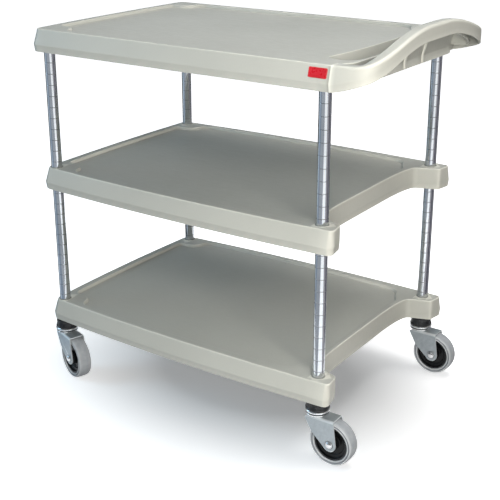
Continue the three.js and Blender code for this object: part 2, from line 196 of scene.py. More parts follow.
def prism(bm, plan, low, high):
    """A plate with that (x, y) plan, between two heights."""
    base, top = skin(bm, [[(x, y, z) for x, y in plan] for z in (low, high)])
    bm.faces.new(base)
    bm.faces.new(top)


def box(bm, low, high):
    (x0, y0, z0), (x1, y1, z1) = low, high
    prism(bm, [(x0, y0), (x1, y0), (x1, y1), (x0, y1)], z0, z1)


def made(name, bm, place=Matrix.Identity(4)):
    """Turns a bmesh into an object, with place as the matrix from its own frame to the shared one."""
    bmesh.ops.recalc_face_normals(bm, faces=bm.faces)
    mesh = bpy.data.meshes.new(name)
    bm.to_mesh(mesh)
    bm.free()
    mesh.transform(place)
    obj = bpy.data.objects.new(name, mesh)
    bpy.context.scene.collection.objects.link(obj)
    return obj


def turned(name, profile, place, segments=64):
    """An object of its own from a lathe profile."""
    bm = bmesh.new()
    lathe(bm, profile, segments)
    return made(name, bm, place)


def apply_modifiers(obj):
    depsgraph = bpy.context.evaluated_depsgraph_get()
    mesh = bpy.data.meshes.new_from_object(obj.evaluated_get(depsgraph))
    obj.modifiers.clear()
    obj.data = mesh


def combine(obj, operation, tools):
    """Joins the tools to obj, or cuts them from it, and removes them."""
    for tool in tools:
        boolean = obj.modifiers.new("combine", "BOOLEAN")
        boolean.operation = operation
        boolean.solver = "MANIFOLD"
        boolean.object = tool
    apply_modifiers(obj)
    for tool in tools:
        bpy.data.objects.remove(tool)


def soften(obj, width):
    """Rounds the sharp edges of a plate-like piece."""
    bevel = obj.modifiers.new("edges", "BEVEL")
    bevel.width = width
    bevel.segments = 2
    bevel.limit_method = "ANGLE"
    bevel.angle_limit = math.radians(40)
    apply_modifiers(obj)


def inset_flats(obj, axis, width):
    """Rings the flat faces across an axis with a narrow border, which keeps the painted highlights on their
    edges narrow.
    """
    bm = bmesh.new()
    bm.from_mesh(obj.data)
    flats = [face for face in bm.faces if abs(face.normal.dot(axis)) > 0.999]
    bmesh.ops.inset_region(bm, faces=flats, thickness=width, use_boundary=True, use_even_offset=True)
    bm.to_mesh(obj.data)
    bm.free()


def shade(obj, sharp=42):
    """Smooth shading that keeps flat faces flat, with edges over the sharp angle left crisp."""
    bm = bmesh.new()
    bm.from_mesh(obj.data)
    for face in bm.faces:
        face.smooth = True
    for edge in bm.edges:
        edge.smooth = len(edge.link_faces) == 2 and edge.calc_face_angle() < math.radians(sharp)
    bm.to_mesh(obj.data)
    bm.free()
    normals = obj.modifiers.new("flat_faces", "WEIGHTED_NORMAL")
    normals.weight = 80
    normals.keep_sharp = True


def piece(obj, body, slot, material, *nodes):
    """Gives a finished piece its material, and puts it in the place of its CAD nodes."""
    obj.data.materials.clear()
    obj.data.materials.append(material)
    shade(obj)
    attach(obj, body)
    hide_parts(*nodes)
    return obj


# ---- materials ------------------------------------------------------------------------------------


def linear(code):
    """An sRGB colour such as "d3d2c6" as linear RGBA."""
    parts = [int(code[i:i + 2], 16) / 255 for i in (0, 2, 4)]
    return tuple(c / 12.92 if c < 0.04045 else ((c + 0.055) / 1.055) ** 2.4 for c in parts) + (1,)


class Nodes:
    """A material under construction, with short calls for the nodes that these surfaces use."""

    def __init__(self, name):
        self.material = bpy.data.materials.new(name)
        self.material.use_nodes = True
        self.tree = self.material.node_tree
        self.shader = self.tree.nodes["Principled BSDF"]
        self.place = self.tree.nodes.new("ShaderNodeTexCoord").outputs["Object"]

    def link(self, source, target):
        self.tree.links.new(source, target)

    def stretched(self, x, y, z):
        """Object coordinates, scaled along each axis."""
        node = self.tree.nodes.new("ShaderNodeMapping")
        node.inputs["Scale"].default_value = (x, y, z)
        self.link(self.place, node.inputs["Vector"])
        return node.outputs["Vector"]

    def noise(self, scale, detail=3, rough=0.5, at=None):
        node = self.tree.nodes.new("ShaderNodeTexNoise")
        node.inputs["Scale"].default_value = scale
        node.inputs["Detail"].default_value = detail
        node.inputs["Roughness"].default_value = rough
        self.link(at or self.place, node.inputs["Vector"])
        return node.outputs["Fac"]

    def span(self, value, low, high, to_low, to_high):
        """Maps low..high to to_low..to_high, clamped."""
        node = self.tree.nodes.new("ShaderNodeMapRange")
        for name, number in zip(("From Min", "From Max", "To Min", "To Max"), (low, high, to_low, to_high)):
            node.inputs[name].default_value = number
        self.link(value, node.inputs["Value"])
        return node.outputs["Result"]

    def mottle(self, scale, detail, low=0, high=1, rough=0.5):
        """Even noise that runs from low to high."""
        return self.span(self.noise(scale, detail, rough), 0.3, 0.7, low, high)

    def mix(self, factor, a, b):
        """Blends two colours, each an RGBA tuple or a socket."""
        node = self.tree.nodes.new("ShaderNodeMix")
        node.data_type = "RGBA"
        self.link(factor, node.inputs["Factor"])
        for socket, colour in ((node.inputs["A"], a), (node.inputs["B"], b)):
            if isinstance(colour, tuple):
                socket.default_value = colour
            else:
                self.link(colour, socket)
        return node.outputs["Result"]

    def pointiness(self):
        return self.tree.nodes.new("ShaderNodeNewGeometry").outputs["Pointiness"]

    def bump(self, height, distance, strength=1.0, under=None):
        node = self.tree.nodes.new("ShaderNodeBump")
        node.inputs["Distance"].default_value = distance
        node.inputs["Strength"].default_value = strength
        self.link(height, node.inputs["Height"])
        if under:
            self.link(under, node.inputs["Normal"])
        return node.outputs["Normal"]

    def finish(self, colour, roughness, normal, **constants):
        """Wires up the shader; a constant such as Emission_Strength is set on the socket of that name."""
        self.link(colour, self.shader.inputs["Base Color"])
        self.link(roughness, self.shader.inputs["Roughness"])
        self.link(normal, self.shader.inputs["Normal"])
        for name, value in constants.items():
            self.shader.inputs[name.replace("_", " ")].default_value = value
        return self.material


def moulded_polymer():
    """Warm light grey moulding: cloudy tone, fine grain, uneven sheen, painted highlights on the edges and
    painted shade in the creases.
    """
    n = Nodes("moulded_polymer")
    tone = n.mix(n.mottle(2.6, 2), linear("a8a8a1"), linear("b3b3ac"))
    speck = n.span(n.noise(900, 1), 0.62, 0.78, 0, 0.35)
    tone = n.mix(speck, tone, linear("96958c"))
    # painted highlight: convex edges are mixed towards a pale tone
    edge = n.span(n.pointiness(), 0.505, 0.55, 0, 0.8)
    tone = n.mix(edge, tone, linear("dddcd3"))
    # painted shade: creases and inner corners are mixed towards a dark tone
    hollow = n.span(n.pointiness(), 0.44, 0.495, 0.75, 0)
    tone = n.mix(hollow, tone, linear("7b7a73"))
    scuff = n.span(n.noise(38, 6, 0.75, n.stretched(1, 5, 1)), 0.35, 0.75, 0.34, 0.56)
    grain = n.bump(n.noise(1400, 2), 0.00012, 0.5)
    waves = n.bump(n.noise(9, 1), 0.0006, 0.25, grain)
    return n.finish(tone, scuff, waves, IOR=1.49)


def sleeve_plastic():
    """Mid grey plastic with a dull, handled surface."""
    n = Nodes("sleeve_plastic")
    tone = n.mix(n.mottle(60, 3), linear("7d7f7a"), linear("989a94"))
    rough = n.mottle(150, 3, 0.45, 0.62)
    return n.finish(tone, rough, n.bump(n.noise(1600, 2), 0.0001, 0.5))


def plate_paint():
    """Red enamel, paler where its edges have rubbed."""
    n = Nodes("plate_paint")
    tone = n.mix(n.mottle(45, 3), linear("a50f1c"), linear("b81a26"))
    edge = n.span(n.pointiness(), 0.52, 0.62, 0, 0.5)
    tone = n.mix(edge, tone, linear("dd6a66"))
    rough = n.mottle(220, 3, 0.24, 0.38)
    return n.finish(tone, rough, n.bump(n.noise(700, 2), 0.00008, 0.5), IOR=1.5)


def chrome_plate():
    """Bright plating: faint smudges, drawn-tube streaks and painted shade in the grooves."""
    n = Nodes("chrome_plate")
    worn = n.span(n.noise(26, 4, 0.6, n.stretched(1, 1, 0.35)), 0.35, 0.7, 0, 1)
    tone = n.mix(worn, linear("d9dcdf"), linear("c3c7cb"))
    pitch = INCH * MM
    to_groove = n.tree.nodes.new("ShaderNodeMath")  # distance to the nearest groove, in inches
    to_groove.operation = "PINGPONG"
    to_groove.inputs[1].default_value = 0.5
    height = n.tree.nodes.new("ShaderNodeSeparateXYZ")
    n.link(n.place, height.inputs[0])
    first = (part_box("post_front_left")[0].z + pitch / 2) / pitch
    n.link(n.span(height.outputs["Z"], 0, 1, -first, 1 / pitch - first), to_groove.inputs[0])
    # painted shade: the metal is darkened along each ring groove
    groove = n.span(to_groove.outputs[0], 0.022, 0.042, 0.5, 0)
    tone = n.mix(groove, tone, linear("6d7074"))
    smudge = n.span(n.noise(70, 5, 0.7), 0.4, 0.75, 0.08, 0.18)
    streaks = n.bump(n.noise(900, 2, 0.5, n.stretched(1, 1, 0.02)), 0.00004, 0.1)
    return n.finish(tone, smudge, streaks, Metallic=1.0)


def zinc_plate():
    """Bluish bright zinc on pressed steel: mottled crystals, a soft satin and painted highlights on the
    edges.
    """
    n = Nodes("zinc_plate")
    tone = n.mix(n.mottle(120, 4, rough=0.6), linear("a0a7ac"), linear("b2b9bd"))
    # painted highlight: convex edges are mixed towards a pale tone
    edge = n.span(n.pointiness(), 0.51, 0.56, 0, 0.9)
    tone = n.mix(edge, tone, linear("e6eaec"))
    rough = n.mottle(60, 4, 0.42, 0.55)
    return n.finish(tone, rough, n.bump(n.noise(700, 3), 0.00006, 0.6), Metallic=0.7)


def bright_fastener():
    """Polished steel of bolts, nuts, balls and races."""
    n = Nodes("bright_fastener")
    tone = n.mix(n.mottle(160, 3), linear("dadcdd"), linear("ececec"))
    rough = n.mottle(240, 3, 0.14, 0.24)
    return n.finish(tone, rough, n.bump(n.noise(900, 2), 0.00004, 0.5), Metallic=1.0)


def black_gloss():
    """Shiny black of the bearing cups, with painted highlights on the edges."""
    n = Nodes("black_gloss")
    tone = n.mix(n.mottle(80, 3), linear("17181a"), linear("242527"))
    # painted highlight: convex edges are mixed towards a lighter grey
    edge = n.span(n.pointiness(), 0.51, 0.57, 0, 0.5)
    tone = n.mix(edge, tone, linear("55575a"))
    rough = n.mottle(130, 4, 0.16, 0.3)
    return n.finish(tone, rough, n.bump(n.noise(900, 2), 0.00006, 0.5), IOR=1.42)


def black_core():
    """Moulded wheel core: near black, with dust in the corners and painted highlights on the edges."""
    n = Nodes("black_core")
    tone = n.mix(n.mottle(90, 4), linear("08090a"), linear("121315"))
    dust = n.span(n.pointiness(), 0.42, 0.49, 0.2, 0)
    tone = n.mix(dust, tone, linear("4a4844"))
    # painted highlight: convex edges are mixed towards a lighter grey
    edge = n.span(n.pointiness(), 0.51, 0.57, 0, 0.45)
    tone = n.mix(edge, tone, linear("707276"))
    rough = n.mottle(110, 4, 0.18, 0.28)
    return n.finish(tone, rough, n.bump(n.noise(1100, 2), 0.00005, 0.5), IOR=1.3)


def grey_rubber():
    """Cool grey rubber with patches of grime, painted highlights on the edges and painted shade in the
    creases.
    """
    n = Nodes("grey_rubber")
    tone = n.mix(n.mottle(55, 4), linear("81868c"), linear("93979c"))
    grime = n.span(n.noise(210, 4, 0.7), 0.58, 0.8, 0, 0.6)
    tone = n.mix(grime, tone, linear("74767a"))
    # painted highlight: convex edges are mixed towards a near-white tone
    edge = n.span(n.pointiness(), 0.505, 0.54, 0, 0.85)
    tone = n.mix(edge, tone, linear("e2e4e6"))
    # painted shade: creases are mixed towards a dark tone
    crease_shade = n.span(n.pointiness(), 0.44, 0.495, 0.8, 0)
    tone = n.mix(crease_shade, tone, linear("5f6266"))
    rough = n.mottle(170, 3, 0.5, 0.68)
    return n.finish(tone, rough, n.bump(n.noise(1300, 3), 0.00012, 0.6), IOR=1.5)


def floor_paper():
    """Plain white studio floor that glows with painted light, less in an oval under the trolley, which
    paints a shadow there.
    """
    n = Nodes("floor_paper")
    tone = n.mix(n.mottle(1.2, 2), linear("f0f0f1"), linear("f6f6f6"))
    rough = n.mottle(9, 2, 0.8, 0.9)
    distance = n.tree.nodes.new("ShaderNodeVectorMath")
    distance.operation = "LENGTH"
    n.link(n.stretched(0.8, 1.1, 1), distance.inputs[0])
    # painted light and shadow: the floor glows, weakly near the trolley and fully further off
    far = n.span(distance.outputs["Value"], 0.2, 0.54, 0.24, 0.96)
    painted_glow = n.mix(far, (0, 0, 0, 1), (1, 1, 1, 1))
    n.link(painted_glow, n.shader.inputs["Emission Color"])
    return n.finish(tone, rough, n.bump(n.noise(300, 2), 0.0001, 0.2), Emission_Strength=1.0)


# ---- shelf outlines -------------------------------------------------------------------------------


def outline(half):
    """Samples a half outline of (start, control, end, steps, flares) curves and mirrors it in Y."""
    points = []
    for start, control, end, steps, (flare_a, flare_b) in half:
        a, c, b = Vector(start), Vector(control), Vector(end)
        for i in range(steps):
            t = i / steps
            points.append((a.lerp(c, t).lerp(c.lerp(b, t), t), flare_a + (flare_b - flare_a) * t))
    points.append((Vector(half[-1][2]), half[-1][4][1]))
    return points + [(Vector((p.x, -p.y)), flare) for p, flare in reversed(points[1:-1])]


def straight(a, b, steps, flares):
    """A straight piece of such an outline."""
    return (a, ((a[0] + b[0]) / 2, (a[1] + b[1]) / 2), b, steps, flares)


def left_end_and_side(left, side_end, corner_y, bow, turn=22):
    """Shared by all shelves: the corner ends turn along the side, and the side swells by bow."""
    end = (left + 6, turn - 6 - corner_y)
    side = (left + turn, -corner_y - 1)
    return [
        ((left, 0), (left, -130), end, 14, (1, 1)),
        (end, (left + 7, -corner_y), side, 12, (1, 1)),
        (side, (0, -corner_y - bow), side_end, 36, (1, 1)),
    ]


def lower_outline():
    """Corner blocks stand out at the right, with a recessed end between them."""
    return outline(left_end_and_side(-380, (381, -272), 262, 28) + [
        ((381, -272), (391, -271.5), (391, -260), 10, (1, 0)),
        straight((391, -260), (387, -236), 4, (0, 0)),
        ((387, -236), (386, -230), (380, -228), 6, (0, 0)),
        straight((380, -228), (341, -214), 5, (0, 0)),
        ((341, -214), (332, -211), (329.5, -202), 12, (0, 0)),
        ((329.5, -202), (320, -168), (320, -90), 10, (0, 0)),
        straight((320, -90), (320, 0), 5, (0, 0)),
    ])


def top_outline():
    """A full-length end wall, behind the handle, that leans in towards its foot."""
    return outline(left_end_and_side(-386, (HANDLE_START - 8, -HANDLE_ARM), 264, 4) + [
        straight((HANDLE_START - 8, -HANDLE_ARM), (HANDLE_START, -HANDLE_ARM), 1, (1, 0.85)),
        straight((HANDLE_START, -HANDLE_ARM), (382, -240), 4, (0.85, 0)),
        ((382, -240), (400, -238), (401, -205), 12, (0, -0.9)),
        straight((401, -205), (401, 0), 10, (-0.9, -0.9)),
    ])


def field_outline(left, right, right_bow, side, side_bow):
    """The sunken field: bowed sides, and corners that sweep round the posts."""
    inner, crown, still = side - 44, right + right_bow, (0, 0)
    return outline([
        ((left, 0), (left, -90), (left + 4, -inner + 12), 8, still),
        ((left + 4, -inner + 12), (left + 4.5, -inner), (left + 20, -inner), 8, still),
        ((left + 20, -inner), (left + 53, -inner), (left + 58, -side + 20), 12, still),
        ((left + 58, -side + 20), (left + 62, -side), (left + 86, -side - 1), 8, still),
        ((left + 86, -side - 1), (0, -side - side_bow), (right - 52, -side - 1), 30, still),
        ((right - 52, -side - 1), (right - 27, -side + 1), (right - 20, -side + 20), 9, still),
        ((right - 20, -side + 20), (right - 13, -side + 40), (right - 6, -side + 50), 9, still),
        ((right - 6, -side + 50), (right, -side + 58), (right + 0.15 * right_bow, -side + 76), 7, still),
        ((right + 0.15 * right_bow, -side + 76), (crown, -80), (crown, 0), 10, still),
    ])


def tray_outline():
    """Plan of the pocket behind the handle, wider at mid-length."""
    near, crown, far, side, still = 330, 343, 396, -205, (0, 0)
    return outline([
        ((crown, 0), (crown, -110), (near, side + 18), 16, still),
        ((near, side + 18), (near - 1, side), (near + 17, side - 1), 8, still),
        ((near + 17, side - 1), (far - 24, side - 12), (far - 9, side + 6), 10, still),
        ((far - 9, side + 6), (far, side + 16), (far, side + 44), 8, still),
        straight((far, side + 44), (far, 0), 8, still),
    ])


def top_hollow_outline():
    """Mouth of the hollow under the top shelf, which ends at the solid foot of the tray."""
    return outline(left_end_and_side(-388, (300, -267), 266, 4, 38) + [
        ((300, -267), (321, -266.5), (322, -244), 8, (1, 0)),
        straight((322, -244), (322, 0), 8, (0, 0)),
    ])


def sweep(bm, points, rim, section):
    """Skins an outline: section(flare) gives the rounded profile as (offset outwards, depth) points."""
    columns = []
    for i, (here, flare) in enumerate(points):
        a = (here - points[i - 1][0]).normalized()
        b = (points[(i + 1) % len(points)][0] - here).normalized()
        normal = Vector((a.y + b.y, -(a.x + b.x))).normalized()
        mitre = max(0.6, normal.x * a.y - normal.y * a.x)
        columns.append([
            Vector((here.x + normal.x * out / mitre, here.y + normal.y * out / mitre, rim - depth))
            for out, depth in section(flare)
        ])
    return skin(bm, list(zip(*columns)))


# ---- shelves --------------------------------------------------------------------------------------


def skirt_section(flare):
    """Outer face: flat rim, rounded edge, flared upper facet, soft kink, lower facet turned in a little."""
    edge = 3.2 if flare >= 0 else 1.7
    foot = FOOT_FLARE * flare - 1.2 * (1 - abs(flare))
    return rounded([
        (-edge - 0.6, 0, 0, 0),
        (-0.87 * flare, 0, edge, 5),
        (FLARE * flare, KINK_DROP, 1.6, 3),
        (foot, SKIRT_DROP, 1.4, 3),
        (foot - WALL + 0.4, SKIRT_DROP, 0, 0),
    ])


def lower_skirt_section(flare):
    """The same face, carried round the foot and up inside to the underside of the deck."""
    foot = FOOT_FLARE * flare - 1.2 * (1 - abs(flare))
    return skirt_section(flare) + rounded([
        (foot - WALL, SKIRT_DROP - 0.6, 0, 0),
        (-WALL - 1.6, DECK_UNDERSIDE, 3, 3),
        (-WALL - 5, DECK_UNDERSIDE, 0, 0),
    ])


def field_section(_flare):
    """From the rim down to the sunken field."""
    return rounded([
        (2.2, 0, 0, 0), (0.5, 0, 1.3, 4), (-2.4, FIELD_DEPTH, 2.2, 4), (-6, FIELD_DEPTH, 0, 0),
    ])


def boss_and_socket(x, y, rim, blind):
    """The boss to join under the deck at a post, and the tapered socket to cut through it."""
    boss = bmesh.new()
    foot = rim - BOSS_DROP
    lathe(boss, rounded([
        (0, foot, 0, 0), (BOSS_RADIUS - 0.6, foot, 1.2, 3), (BOSS_RADIUS, rim - 22, 3, 3),
        (BOSS_RADIUS - 3, rim - DECK_UNDERSIDE + 1, 0, 0), (0, rim - DECK_UNDERSIDE + 1, 0, 0),
    ]), 48)
    socket = bmesh.new()
    high = rim - BLIND_DROP if blind else rim + 2
    low = rim - SKIRT_DROP - 2
    wide, narrow = (SOCKET_TOP + SOCKET_SLOPE * (rim - z) for z in (low, high))
    lathe(socket, [(0, low), (wide, low), (narrow, high), (0, high)], 48)
    place = SHELF_PLACE @ Matrix.Translation((x, y, 0))
    return made("boss", boss, place), made("socket", socket, place)


def ribs(rim, left, right, half_width):
    """Stiffening ribs across and along the hollow underside."""
    tools = []
    half_thickness, across, along = 1.2, 6, (-160, -54, 54, 160)
    high, low = rim - DECK_UNDERSIDE + 1, rim - 22
    places = [left + (right - left) * i / (across + 1) for i in range(1, across + 1)]
    plans = [((x - half_thickness, -half_width), (x + half_thickness, half_width)) for x in places]
    plans += [((left, y - half_thickness), (right, y + half_thickness)) for y in along]
    for near, far in plans:
        bm = bmesh.new()
        box(bm, (*near, low), (*far, high))
        tools.append(made("rib", bm, SHELF_PLACE))
    return tools


def fit_posts(shelf, rim, blind, joined):
    """Joins bosses and the other parts to a shelf, then cuts its sockets."""
    sockets = []
    for x in (-POST_HALF_X, POST_HALF_X):
        for y in (-POST_HALF_Y, POST_HALF_Y):
            boss, socket = boss_and_socket(x, y, rim, blind)
            joined.append(boss)
            sockets.append(socket)
    combine(shelf, "UNION", joined)
    combine(shelf, "DIFFERENCE", sockets)


def lower_shelf(name, rim):
    """The bottom and the middle shelf are the same moulding."""
    bm = bmesh.new()
    skirt = sweep(bm, lower_outline(), rim, lower_skirt_section)
    field = sweep(bm, field_outline(-361, 312, 0, 252, 16), rim, field_section)
    cap(bm, skirt[0], field[0])
    cap(bm, field[-1])
    cap(bm, skirt[-1])
    shelf = made(name, bm, SHELF_PLACE)
    fit_posts(shelf, rim, False, ribs(rim, -374, 316, 262))
    return shelf


def quarter_wave(t):
    """Rises from 0 to 1 and flattens out, for t from 0 to 1."""
    return math.sin(math.pi / 2 * min(1, max(0, t)))


def band_section(share):
    """Section of the handle band, share 0 at the corner to 1 at mid-span, as (inwards, height) points."""
    rim = RIMS["top"]
    top = rim + 1 + 52 * quarter_wave((share - 0.14) / 0.78) ** 1.3
    bottom = rim - SKIRT_DROP + 71 * quarter_wave(share / 0.86) ** 1.35
    inner = min(top - 16, max(bottom, top - 34))
    lean = max(0, 1 - share / 0.3)
    kink = min(bottom + SKIRT_DROP - KINK_DROP, top - 14)
    wall, width = HANDLE_WALL, HANDLE_WIDTH
    crown = 1 + 3 * min(1, share / 0.35)
    return rounded([
        (-FOOT_FLARE * lean, bottom, 1.3, 3),
        (-FLARE * lean, kink, 3, 2),
        (-0.4, top, 4 + crown, 7),
        (width, top - 1.2, 4 + crown, 7),
        (width, inner, 1.3, 3),
        (width - wall, inner, 1, 2),
        (width - wall - 1, top - 9, 3, 3),
        (wall + 1.5, top - 9, 3, 3),
        (wall - FLARE * lean + 1, kink - 1, 1, 1),
        (wall - FOOT_FLARE * lean, bottom, 1, 2),
    ], closed=True)


def band_line(t):
    """Plan position and inward direction on the band's outer face, t from -1 to 1."""
    share = 1 - abs(t)
    side = -HANDLE_ARM - HANDLE_PROUD
    a, b = Vector((HANDLE_START - 0.5, side)), Vector((481, side))
    c, d = Vector((HANDLE_REACH, -248)), Vector((HANDLE_REACH, 0))
    r = 1 - share
    point = a * r**3 + b * 3 * r * r * share + c * 3 * r * share**2 + d * share**3
    tangent = (b - a) * 3 * r * r + (c - b) * 6 * r * share + (d - c) * 3 * share**2
    inward = Vector((-tangent.y, tangent.x)).normalized()
    if t > 0:
        point.y, inward.y = -point.y, -inward.y
    return point, inward


def even_band_stations(count):
    """Values of band_line's t, evenly spaced along the band, with each one's share of the half length."""
    samples = 400
    lengths = [0]
    for i in range(samples):
        step = band_line((i + 1) / samples - 1)[0] - band_line(i / samples - 1)[0]
        lengths.append(lengths[-1] + step.length)
    half = []
    k = 0
    for i in range(count + 1):
        wanted = lengths[-1] * i / count
        while k < samples - 1 and lengths[k + 1] < wanted:
            k += 1
        share = (k + (wanted - lengths[k]) / (lengths[k + 1] - lengths[k])) / samples
        half.append((share - 1, i / count))
    return half + [(-t, share) for t, share in reversed(half[:-1])]


def handle_band():
    """The arched push handle: an inverted channel that leaves both corners, rises and crosses the end."""
    bm = bmesh.new()
    rings = []
    for t, share in even_band_stations(60):
        point, inward = band_line(t)
        rings.append([
            (point.x + inward.x * u, point.y + inward.y * u, z) for u, z in band_section(share)
        ])
    verts = skin(bm, rings)
    bm.faces.new(verts[0])
    bm.faces.new(verts[-1])
    return made("handle_band", bm, SHELF_PLACE)


def end_wall_ridges(rim):
    """Upright ridges on the end wall behind the handle."""
    tools = []
    for y in (-83, 0, 83):
        bm = bmesh.new()
        rings = []
        for depth, x in ((2.5, 400.5), (30, 392.5), (49, 391)):
            rings.append([(x - 3, y - 5, rim - depth), (x + 4.5, y - 3, rim - depth),
                          (x + 4.5, y + 3, rim - depth), (x - 3, y + 5, rim - depth)])
        verts = skin(bm, rings)
        bm.faces.new(verts[0])
        bm.faces.new(verts[-1])
        tools.append(made("ridge", bm, SHELF_PLACE))
    return tools


def tray_section(_flare):
    """From the rim down to the floor of the tray pocket."""
    return rounded([(1.7, 0, 0, 0), (0.2, 0, 1.3, 3), (-4, TRAY_DEPTH, 5, 5), (-8, TRAY_DEPTH, 0, 0)])


def hollow_section(flare):
    """From the foot of the skirt up to the underside of the deck."""
    lean = 2 + 7 * flare
    return rounded([
        (0, SKIRT_DROP, 0, 0), (-lean, DECK_UNDERSIDE, 3, 3), (-lean - 2.5, DECK_UNDERSIDE, 0, 0),
    ])


def top_shelf(name):
    """The shelf with the tray pocket and the handle."""
    rim = RIMS["top"]
    bm = bmesh.new()
    skirt = sweep(bm, top_outline(), rim, skirt_section)
    field = sweep(bm, field_outline(-367, 318, 9, 247, 4), rim, field_section)
    tray = sweep(bm, tray_outline(), rim, tray_section)
    hollow = sweep(bm, top_hollow_outline(), rim, hollow_section)
    cap(bm, skirt[0], field[0], tray[0])
    cap(bm, field[-1])
    cap(bm, tray[-1])
    cap(bm, skirt[-1], hollow[0])
    cap(bm, hollow[-1])
    shelf = made(name, bm, SHELF_PLACE)
    joined = ribs(rim, -380, 316, 258) + end_wall_ridges(rim) + [handle_band()]
    fit_posts(shelf, rim, True, joined)
    return shelf


def blank_plate(name):
    """A plain raised plate with a low frame, in the place of the badge on the long side."""
    size = (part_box("blank_plate")[1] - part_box("blank_plate")[0]) / MM
    half_width, half_height = size.x / 2, math.hypot(size.y, size.z) / 2
    tilt = math.atan2(FLARE, KINK_DROP - 3)
    thickness = 1.2
    steps = [(0, 0), (0, thickness - 0.5), (0.5, thickness), (1.8, thickness), (2.2, thickness - 0.45)]
    bm = bmesh.new()
    rings = []
    for inset, z in steps:
        x, y = half_width - inset, half_height - inset
        corners = [(-x, -y, 3, 5), (x, -y, 3, 5), (x, y, 3, 5), (-x, y, 3, 5)]
        rings.append([(p.x, p.y, z) for p in rounded(corners, closed=True)])
    verts = skin(bm, rings)
    bm.faces.new(verts[0])
    bm.faces.new(verts[-1])
    out = Vector((0, -math.cos(tilt), math.sin(tilt))) * (thickness / 2 * MM)
    turn = Matrix.Rotation(math.pi / 2 - tilt, 4, "X")
    back = Matrix.Translation(middle_of("blank_plate") - out)
    return made(name, bm, back @ turn @ Matrix.Scale(MM, 4))


# ---- posts and sleeves ----------------------------------------------------------------------------


def corner_place(corner):
    """Matrix from millimetres about a post's axis, with z from the floor, to the shared frame."""
    middle = POSTS[corner]
    return Matrix.Translation((middle.x, middle.y, 0)) @ Matrix.Scale(MM, 4)


def post(name, corner):
    """Chrome tube with a shallow ring groove every inch."""
    bottom, top = (point.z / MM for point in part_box(f"post_{corner}"))
    radius, chamfer, half = POST_RADIUS, 0.5, GROOVE_HALF_WIDTH
    side, floor_radius = radius - GROOVE_DEPTH * 0.8, radius - GROOVE_DEPTH
    outer = [(radius - chamfer, bottom), (radius, bottom + chamfer)]
    z = bottom + INCH / 2
    while z < top - INCH / 4:
        outer += [(radius, z - half), (side, z - half * 0.45), (floor_radius, z),
                  (side, z + half * 0.45), (radius, z + half)]
        z += INCH
    outer += [(radius, top - chamfer), (radius - chamfer, top)]
    return turned(name, outer + [(POST_BORE, top), (POST_BORE, bottom)], corner_place(corner), 48)


def sleeve(name, level, corner):
    """Tapered sleeve, with a slit on the side that faces the trolley's middle."""
    bottom, top = (point.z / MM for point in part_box(f"sleeve_{level}_{corner}"))
    play = 0.3
    wide, narrow = (SOCKET_TOP - play + SOCKET_SLOPE * (RIMS[level] - z) for z in (bottom, top))
    bore = POST_RADIUS + 0.2
    place = corner_place(corner)
    obj = turned(name, rounded([
        (bore, bottom, 0.4, 2), (wide, bottom, 0.5, 2), (narrow, top, 0.6, 3), (bore, top, 0.5, 2),
    ], closed=True), place, 48)
    slit = bmesh.new()
    half_slit = 0.8
    box(slit, (5, -half_slit, bottom - 2), (20, half_slit, top + 2))
    middle = POSTS[corner]
    inward = Matrix.Rotation(math.atan2(-middle.y, POSTS_MIDDLE_X - middle.x), 4, "Z")
    combine(obj, "DIFFERENCE", [made("slit", slit, place @ inward)])
    return obj


# ---- casters --------------------------------------------------------------------------------------


def caster_place(corner):
    """Matrix from a caster's own millimetre frame to the shared one, as it trails at rest."""
    swivel = Vector(JOINTS[f"caster_swivel_{corner}"]["pos_m"])
    axle = Vector(JOINTS[f"wheel_spin_{corner}"]["pos_m"])
    heading = math.atan2(axle.y - swivel.y, axle.x - swivel.x)
    upright = Matrix.Translation((swivel.x, swivel.y, 0)) @ Matrix.Rotation(heading, 4, "Z")
    return upright @ Matrix.Scale(MM, 4)


ON_AXLE = Matrix.Translation(AXLE_AT) @ Matrix.Rotation(math.pi / 2, 4, "X")


def fork_outline():
    """Side view of the fork: raked front edge, round end about the axle, straight rear edge."""
    x, z, end = AXLE_AT.x, AXLE_AT.z, FORK_END_RADIUS
    front = rounded([(-20, 100, 0, 0), (-4, 71, 0, 0), (8, 59, 6, 5), (28, 40.5, 0, 0)])
    first, steps = 218, 16
    turns = [math.radians(first + i * (360 - first) / steps) for i in range(steps + 1)]
    round_end = [Vector((x + end * math.cos(a), z + end * math.sin(a))) for a in turns]
    top = [(49.5, 96), (48, 100), (48, FORK_TOP + 2), (-14, FORK_TOP + 2), (-14, 103)]
    return front + round_end + [Vector(point) for point in top]


